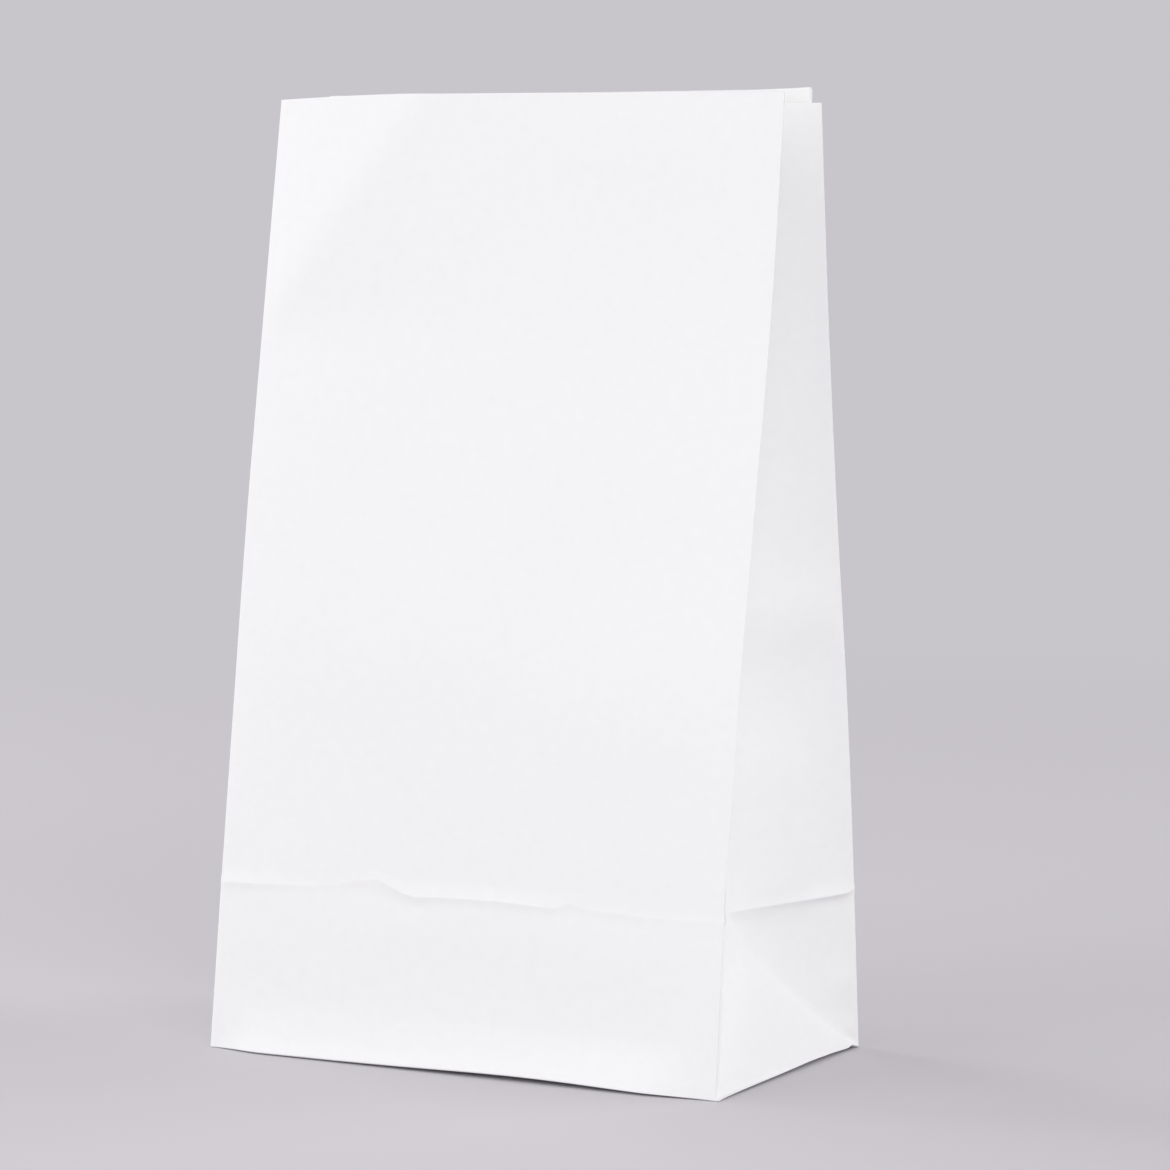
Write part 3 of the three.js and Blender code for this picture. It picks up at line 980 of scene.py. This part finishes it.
def paper_fields():
    """For every point: how loose the paper is there, and how close it lies to a fold."""
    loose, crease = np.zeros(len(points)), np.zeros(len(points))
    up = up_the_wall
    to_upright = gap_to((0, WIDTH, WIDTH + DEPTH, 2 * WIDTH + DEPTH))
    to_centre = gap_to((WIDTH + HALF_GUSSET, 2 * WIDTH + DEPTH + HALF_GUSSET))
    # in the block the side has the 45 degree folds instead of the centre crease
    to_diagonal = np.abs(up - to_upright) / math.sqrt(2)
    in_block = up < HALF_GUSSET
    on_side = (to_centre < HALF_GUSSET) & in_block
    inner_fold = np.where(on_side, to_diagonal, np.where(in_block, NO_FOLD, to_centre))
    to_level = np.minimum(np.abs(up - HALF_GUSSET), up)
    gap = np.minimum(np.minimum(to_upright, inner_fold), to_level)
    count = ROWS * COLUMNS
    loose[:count] = soft_step(gap, LOOSE_START, LOOSE_END).ravel()
    # closeness to a fold is the mask of the painted highlight; the 45 degree folds get none
    crease[:count] = np.where(on_side & (to_diagonal <= gap), 0, bell(gap, FOLD_HIGHLIGHT_RADIUS)).ravel()
    return loose, crease


def add_point_attributes(obj, loose, crease):
    for name, values in (("loose", loose), ("crease", crease)):
        attribute = obj.data.attributes.new(name, "FLOAT", "POINT")
        attribute.data.foreach_set("value", np.asarray(values, dtype=np.float32))


loose, crease = paper_fields()
add_point_attributes(sheet, loose, crease)
print("loose paper: %d of %d points" % ((loose > 0).sum(), len(loose)))

# %% [markdown]
# ## Material: white machine-glazed kraft paper
# The paper is bleached kraft, dried against a polished cylinder on one side, so it is smooth but
# not shiny. What the eye gets is a bright, almost neutral white, a cloudy formation where the
# pulp lay thicker or thinner, a few millimetres across, and fine fibres that run mostly up the
# tube. A scanned texture could show them. Noise on the flat sheet's UV map does it at a known
# size and without a repeat. Real fibres are about 0.03 mm thick. They are drawn ten times as
# coarse, so that they show in the render. Along the folds the colour turns a little lighter in a
# thin line: a painted highlight, where a rounded fold would catch the light.

# %% Helpers for materials
def linear(hex_colour):
    """An sRGB hex colour as linear RGBA."""
    channels = [int(hex_colour[i:i + 2], 16) / 255 for i in (1, 3, 5)]
    return [c / 12.92 if c <= 0.04045 else ((c + 0.055) / 1.055) ** 2.4 for c in channels] + [1]


def add_node(tree, kind, settings=None, values=None, links=None):
    """Adds a node, sets its properties and input values, and links its inputs."""
    node = tree.nodes.new(kind)
    for key, value in (settings or {}).items():
        setattr(node, key, value)
    for key, value in (values or {}).items():
        node.inputs[key].default_value = value
    for key, socket in (links or {}).items():
        tree.links.new(socket, node.inputs[key])
    return node


def new_material(name):
    material = bpy.data.materials.new(name)
    material.use_nodes = True
    material.node_tree.nodes.clear()
    return material, material.node_tree


print("sRGB #808080 is %.2f in linear light" % linear("#808080")[0])

# %% Paper: colour, gloss and relief
# the two pulp colours are the paper's own; the third is a painted highlight for the folds
THIN_PULP, THICK_PULP, FOLD_HIGHLIGHT = "#EEEFED", "#F3F4F3", "#F9FAF9"
CLOUD_MM = 2.6
FIBRE_MM = 0.30
FIBRE_STRETCH = 3.5
# how far up the clouds and the fibres stand, and how strongly the painted highlight lightens the
# colour at a fold
CLOUD_RELIEF_MM = 0.05
FIBRE_RELIEF_MM = 0.02
FOLD_HIGHLIGHT_SHARE = 0.25
# the glaze is so thin that the sheet stays almost matt
ROUGHNESS_FROM, ROUGHNESS_TO = 0.62, 0.78


def make_paper():
    material, tree = new_material("white_machine_glazed_kraft_paper")
    place = add_node(tree, "ShaderNodeUVMap", {"uv_map": "sheet"}).outputs["UV"]
    clouds = add_node(tree, "ShaderNodeTexNoise",
                      values={"Scale": 1 / (CLOUD_MM * MM), "Detail": 3.0, "Roughness": 0.6},
                      links={"Vector": place})
    along = add_node(tree, "ShaderNodeMapping", values={"Scale": (FIBRE_STRETCH, 1, 1)},
                     links={"Vector": place})
    fibres = add_node(tree, "ShaderNodeTexNoise",
                      values={"Scale": 1 / (FIBRE_MM * FIBRE_STRETCH * MM), "Detail": 2.0,
                              "Roughness": 0.55, "Distortion": 0.6},
                      links={"Vector": along.outputs["Vector"]})
    sheet_colour = add_node(tree, "ShaderNodeMix", {"data_type": "RGBA"},
                            {"A": linear(THIN_PULP), "B": linear(THICK_PULP)},
                            {"Factor": clouds.outputs["Fac"]})
    # painted highlight: near a fold the colour is mixed towards a lighter white
    fold = add_node(tree, "ShaderNodeAttribute", {"attribute_name": "crease"})
    fold_highlight = add_node(tree, "ShaderNodeMath", {"operation": "MULTIPLY"}, {1: FOLD_HIGHLIGHT_SHARE},
                      {0: fold.outputs["Fac"]})
    colour = add_node(tree, "ShaderNodeMix", {"data_type": "RGBA"}, {"B": linear(FOLD_HIGHLIGHT)},
                      {"Factor": fold_highlight.outputs[0], "A": sheet_colour.outputs["Result"]})
    gloss = add_node(tree, "ShaderNodeMapRange",
                     values={"To Min": ROUGHNESS_FROM, "To Max": ROUGHNESS_TO},
                     links={"Value": clouds.outputs["Fac"]})
    cockle = add_node(tree, "ShaderNodeBump",
                      values={"Strength": 0.15, "Distance": CLOUD_RELIEF_MM * MM},
                      links={"Height": clouds.outputs["Fac"]})
    grain = add_node(tree, "ShaderNodeBump",
                     values={"Strength": 0.3, "Distance": FIBRE_RELIEF_MM * MM},
                     links={"Height": fibres.outputs["Fac"], "Normal": cockle.outputs["Normal"]})
    shader = add_node(tree, "ShaderNodeBsdfPrincipled",
                      values={"Specular IOR Level": 0.35, "IOR": 1.5},
                      links={"Base Color": colour.outputs["Result"],
                             "Roughness": gloss.outputs["Result"],
                             "Normal": grain.outputs["Normal"]})
    add_node(tree, "ShaderNodeOutputMaterial", links={"Surface": shader.outputs["BSDF"]})
    return material


paper = make_paper()
print("material:", paper.name)

# %% [markdown]
# ## From a surface to a sheet of paper
# The surface has no thickness yet. A Solidify modifier could add it, but a small Geometry Nodes
# tree can do more in one place: it moves the loose parts of the paper in soft waves, extrudes the
# surface inwards by one paper's thickness, turns the copy round, and merges the two along the
# cut edges into one closed wall. Its sizes are named inputs, and its waves have a fixed seed.

# %% Geometry Nodes tree: the paper's wall
def paper_wall_tree():
    tree = bpy.data.node_groups.new("paper_wall", "GeometryNodeTree")
    for name, kind in (("Geometry", "NodeSocketGeometry"), ("Thickness", "NodeSocketFloat"),
                       ("Waviness", "NodeSocketFloat"), ("Wave Size", "NodeSocketFloat"),
                       ("Seed", "NodeSocketFloat"), ("Material", "NodeSocketMaterial")):
        tree.interface.new_socket(name, in_out="INPUT", socket_type=kind)
    tree.interface.new_socket("Geometry", in_out="OUTPUT", socket_type="NodeSocketGeometry")
    inputs = add_node(tree, "NodeGroupInput").outputs
    normal = add_node(tree, "GeometryNodeInputNormal").outputs["Normal"]
    looseness = add_node(tree, "GeometryNodeInputNamedAttribute", {"data_type": "FLOAT"},
                         {"Name": "loose"}).outputs["Attribute"]
    scale = add_node(tree, "ShaderNodeMath", {"operation": "DIVIDE"}, {0: 1.0},
                     {1: inputs["Wave Size"]})
    waves = add_node(tree, "ShaderNodeTexNoise", {"noise_dimensions": "4D"}, {"Detail": 1.0},
                     {"W": inputs["Seed"], "Scale": scale.outputs[0]})
    centred = add_node(tree, "ShaderNodeMath", {"operation": "SUBTRACT"}, {1: 0.5},
                       {0: waves.outputs["Fac"]})
    height = add_node(tree, "ShaderNodeMath", {"operation": "MULTIPLY"},
                      links={0: centred.outputs[0], 1: inputs["Waviness"]})
    held = add_node(tree, "ShaderNodeMath", {"operation": "MULTIPLY"},
                    links={0: height.outputs[0], 1: looseness})
    offset = add_node(tree, "ShaderNodeVectorMath", {"operation": "SCALE"},
                      links={0: normal, "Scale": held.outputs[0]})
    wavy = add_node(tree, "GeometryNodeSetPosition",
                    links={"Geometry": inputs["Geometry"], "Offset": offset.outputs[0]})
    inwards = add_node(tree, "ShaderNodeMath", {"operation": "MULTIPLY"}, {1: -1.0},
                       {0: inputs["Thickness"]})
    inner = add_node(tree, "GeometryNodeExtrudeMesh", {"mode": "FACES"}, {"Individual": False},
                     {"Mesh": wavy.outputs["Geometry"], "Offset": normal,
                      "Offset Scale": inwards.outputs[0]})
    cut_edge = add_node(tree, "GeometryNodeSetShadeSmooth", {"domain": "FACE"},
                        {"Shade Smooth": False},
                        {"Geometry": inner.outputs["Mesh"], "Selection": inner.outputs["Side"]})
    turned = add_node(tree, "GeometryNodeFlipFaces", links={"Mesh": cut_edge.outputs["Geometry"]})
    both = add_node(tree, "GeometryNodeJoinGeometry", links={"Geometry": turned.outputs["Mesh"]})
    tree.links.new(wavy.outputs["Geometry"], both.inputs["Geometry"])
    merged = add_node(tree, "GeometryNodeMergeByDistance", values={"Distance": 1e-6},
                      links={"Geometry": both.outputs["Geometry"]})
    real = add_node(tree, "GeometryNodeRealizeInstances",
                    links={"Geometry": merged.outputs["Geometry"]})
    painted = add_node(tree, "GeometryNodeSetMaterial",
                       links={"Geometry": real.outputs["Geometry"],
                              "Material": inputs["Material"]})
    add_node(tree, "NodeGroupOutput", links={"Geometry": painted.outputs["Geometry"]})
    return tree


def give_wall(obj, tree, values):
    """Runs the tree on obj and keeps its result as a plain mesh."""
    modifier = obj.modifiers.new("wall", "NODES")
    modifier.node_group = tree
    names = {item.name: item.identifier for item in tree.interface.items_tree
             if item.in_out == "INPUT"}
    for name, value in values.items():
        modifier[names[name]] = value
    depsgraph = bpy.context.evaluated_depsgraph_get()
    result = bpy.data.meshes.new_from_object(obj.evaluated_get(depsgraph),
                                             preserve_all_data_layers=True, depsgraph=depsgraph)
    obj.modifiers.clear()
    old = obj.data
    obj.data = result
    bpy.data.meshes.remove(old)
    obj.data.name = obj.name
    return obj


wall_tree = paper_wall_tree()
print("node tree: %s, %d nodes" % (wall_tree.name, len(wall_tree.nodes)))

# %% Give the bag its wall
WAVE_HEIGHT = 0.5
WAVE_SIZE = 30
WAVE_SEED = 4.0


def odd_edges(mesh):
    """Numbers of open edges, with one face, and of pinched edges, with more than two."""
    edges = np.sort([edge for polygon in mesh.polygons for edge in polygon.edge_keys], axis=1)
    faces_at_edge = np.unique(edges, axis=0, return_counts=True)[1]
    return (faces_at_edge < 2).sum(), (faces_at_edge > 2).sum()


give_wall(sheet, wall_tree, {"Thickness": PAPER * MM, "Waviness": WAVE_HEIGHT * MM,
                             "Wave Size": WAVE_SIZE * MM, "Seed": WAVE_SEED, "Material": paper})
print("bag sheet: %d faces" % len(sheet.data.polygons))
print("bag sheet: %d open edges, %d pinched edges" % odd_edges(sheet.data))

# %% [markdown]
# ## Bottom flaps
# Underneath, the tube's end is folded in: first the two sides, as triangles, then the front flap
# and last the rear flap, which overlaps it and is glued down. They could be cut from planes with
# the knife tool. Here each flap is a grid between its fold and its tip, with a 45 degree edge
# where it was folded back, and every layer lies one paper below the last. The grids get their
# thickness from the same Geometry Nodes tree as the bag's wall.

# %% Bottom flaps
# from one layer to the next, and the share of it that is paper
FLAP_STEP = 0.17
FLAP_PAPER = 0.8 * FLAP_STEP
FLAP_INSET = 0.35
FRONT_REACH, REAR_REACH = HALF_GUSSET + 8, HALF_GUSSET + 11
SIDE_REACH = HALF_GUSSET - 1.2
SIDE_HALF_WIDTH, SIDE_TIP = HALF_GUSSET - 0.8, 0.3
flap_points, flap_faces, flap_uv = [], [], []


def panel_flap(sign, reach):
    """Places on the front's flap (sign -1) or the rear's, by shares across and down it."""
    def outline(across, down):
        inwards = reach * down
        half = WIDTH / 2 - FLAP_INSET - inwards
        return (2 * across - 1) * half, sign * (HALF_GUSSET - FLAP_INSET - inwards)
    return outline


def side_flap(sign):
    """Places on the left side's flap (sign -1) or the right side's."""
    def outline(across, down):
        inwards = SIDE_REACH * down
        half = max(SIDE_HALF_WIDTH - inwards, SIDE_TIP)
        return sign * (WIDTH / 2 - FLAP_INSET - inwards), (2 * across - 1) * half
    return outline


def add_flap(outline, layer, cells, uv_at):
    """A grid of faces that look down, on a layer that is counted from the lowest one."""
    start = len(flap_points)
    across_cells, down_cells = cells
    for j in range(down_cells + 1):
        for i in range(across_cells + 1):
            x, y = outline(i / across_cells, j / down_cells)
            z = layer_height(x, y, layer * FLAP_STEP)
            flap_points.append(np.array([x, bowed(x, y), z]))
            flap_uv.append((x + uv_at[0], y + uv_at[1]))
    width = across_cells + 1
    for j in range(down_cells):
        for i in range(across_cells):
            a = start + j * width + i
            corners = (a, a + 1, a + 1 + width, a + width)
            xy = [flap_points[c][:2] for c in corners]
            turn = sum(p[0] * q[1] - q[0] * p[1] for p, q in zip(xy, xy[1:] + xy[:1]))
            flap_faces.append(corners[::-1] if turn > 0 else corners)


FLAPS = (
    # outline, layer, cells across and down, place of its middle on the flat sheet
    (side_flap(1), 2, (24, 16), (60, 330)),
    (side_flap(-1), 2, (24, 16), (60, 330)),
    (panel_flap(-1, FRONT_REACH), 1, (48, 24), (220, 330)),
    (panel_flap(1, REAR_REACH), 0, (48, 24), (220, 330)),
)
for flap in FLAPS:
    add_flap(*flap)
flaps = make_mesh("bottom_flaps", flap_points, flap_faces, flap_uv)
add_point_attributes(flaps, np.zeros(len(flap_points)), np.zeros(len(flap_points)))
give_wall(flaps, wall_tree, {"Thickness": FLAP_PAPER * MM, "Waviness": 0.0,
                             "Wave Size": WAVE_SIZE * MM, "Seed": WAVE_SEED, "Material": paper})
print("bottom flaps: %d faces in %d flaps" % (len(flaps.data.polygons), len(FLAPS)))

# %% [markdown]
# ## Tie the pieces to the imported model
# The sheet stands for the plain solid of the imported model, and both pieces ride on its one body.

# %% Tie the pieces
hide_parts("paper_bag")
for piece in (sheet, flaps):
    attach(piece, "root")

# %% [markdown]
# ## Studio
# The bag stands on a plain grey floor that fades into the backdrop. The backdrop could be a
# curved wall, but then it would block the view from the other side, so the floor fades into the
# world's own grey instead. Four big soft lights stand round the bag: the front is only a little
# brighter than the side, and the shadow behind the bag is faint.

# %% Floor
WORLD_GREY = "#C8C5CB"
FLOOR_GREY = "#CAC8CB"
FLOOR_RADIUS = 5.0
FLOOR_SIDES = 96
FLOOR_RINGS = np.concatenate([np.linspace(0.05, 1, 20), np.linspace(1.2, FLOOR_RADIUS, 12)])
FADE_START, FADE_END = 0.35, 1.1


def floor_material():
    material, tree = new_material("grey_background_paper")
    place = add_node(tree, "ShaderNodeTexCoord").outputs["Object"]
    distance = add_node(tree, "ShaderNodeVectorMath", {"operation": "LENGTH"}, links={0: place})
    fade = add_node(tree, "ShaderNodeMapRange", {"interpolation_type": "SMOOTHSTEP"},
                    {"From Min": FADE_START, "From Max": FADE_END},
                    {"Value": distance.outputs["Value"]})
    diffuse = add_node(tree, "ShaderNodeBsdfDiffuse", values={"Color": linear(FLOOR_GREY)})
    glow = add_node(tree, "ShaderNodeEmission", values={"Color": linear(WORLD_GREY)})
    blend = add_node(tree, "ShaderNodeMixShader",
                     links={0: fade.outputs["Result"], 1: diffuse.outputs["BSDF"],
                            2: glow.outputs["Emission"]})
    add_node(tree, "ShaderNodeOutputMaterial", links={"Surface": blend.outputs["Shader"]})
    return material


def make_floor():
    """A round floor of rings of faces, with a fan of triangles in the middle."""
    turns = [2 * math.pi * i / FLOOR_SIDES for i in range(FLOOR_SIDES)]
    points = [(0, 0, 0)]
    points += [(radius * math.cos(turn), radius * math.sin(turn), 0)
               for radius in FLOOR_RINGS for turn in turns]
    beside = [(i + 1) % FLOOR_SIDES for i in range(FLOOR_SIDES)]
    faces = [(0, 1 + i, 1 + beside[i]) for i in range(FLOOR_SIDES)]
    for start in range(1, len(points) - FLOOR_SIDES, FLOOR_SIDES):
        for i in range(FLOOR_SIDES):
            a, b = start + i, start + beside[i]
            faces.append((a, a + FLOOR_SIDES, b + FLOOR_SIDES, b))
    mesh = bpy.data.meshes.new("floor")
    mesh.from_pydata(points, [], faces)
    mesh.materials.append(floor_material())
    floor = bpy.data.objects.new("floor", mesh)
    bpy.context.collection.objects.link(floor)
    return floor


floor = make_floor()
print("floor: %.0f m across, %d faces" % (2 * FLOOR_RADIUS, len(floor.data.polygons)))

# %% Lights
LIGHT_AIM = (0, 0, 0.1)
SOFTBOXES = (
    # name, place, size, watts
    ("key", (-0.8, -1.2, 0.9), 1.3, 7.1),
    ("front right", (1.15, -1.2, 0.6), 1.2, 10.7),
    ("rear right", (1.25, 0.9, 0.9), 1.1, 7.0),
    ("left", (-1.6, 0.1, 0.8), 1.3, 12.5),
)


def add_softbox(name, place, size, watts):
    data = bpy.data.lights.new(name, "AREA")
    data.shape = "SQUARE"
    data.size = size
    data.energy = watts
    light = bpy.data.objects.new(name, data)
    turn = (Vector(LIGHT_AIM) - Vector(place)).to_track_quat("-Z", "Y").to_matrix().to_4x4()
    light.matrix_world = Matrix.Translation(place) @ turn
    light.visible_camera = False
    bpy.context.collection.objects.link(light)


for softbox in SOFTBOXES:
    add_softbox(*softbox)
world = bpy.data.worlds.new("studio")
bpy.context.scene.world = world
world.use_nodes = True
backdrop = world.node_tree.nodes["Background"]
backdrop.inputs["Color"].default_value = linear(WORLD_GREY)
backdrop.inputs["Strength"].default_value = 1.0
bpy.context.scene.view_settings.view_transform = "Standard"
print("studio: %d lights, world grey %s, floor grey %s"
      % (len(SOFTBOXES), WORLD_GREY, FLOOR_GREY))
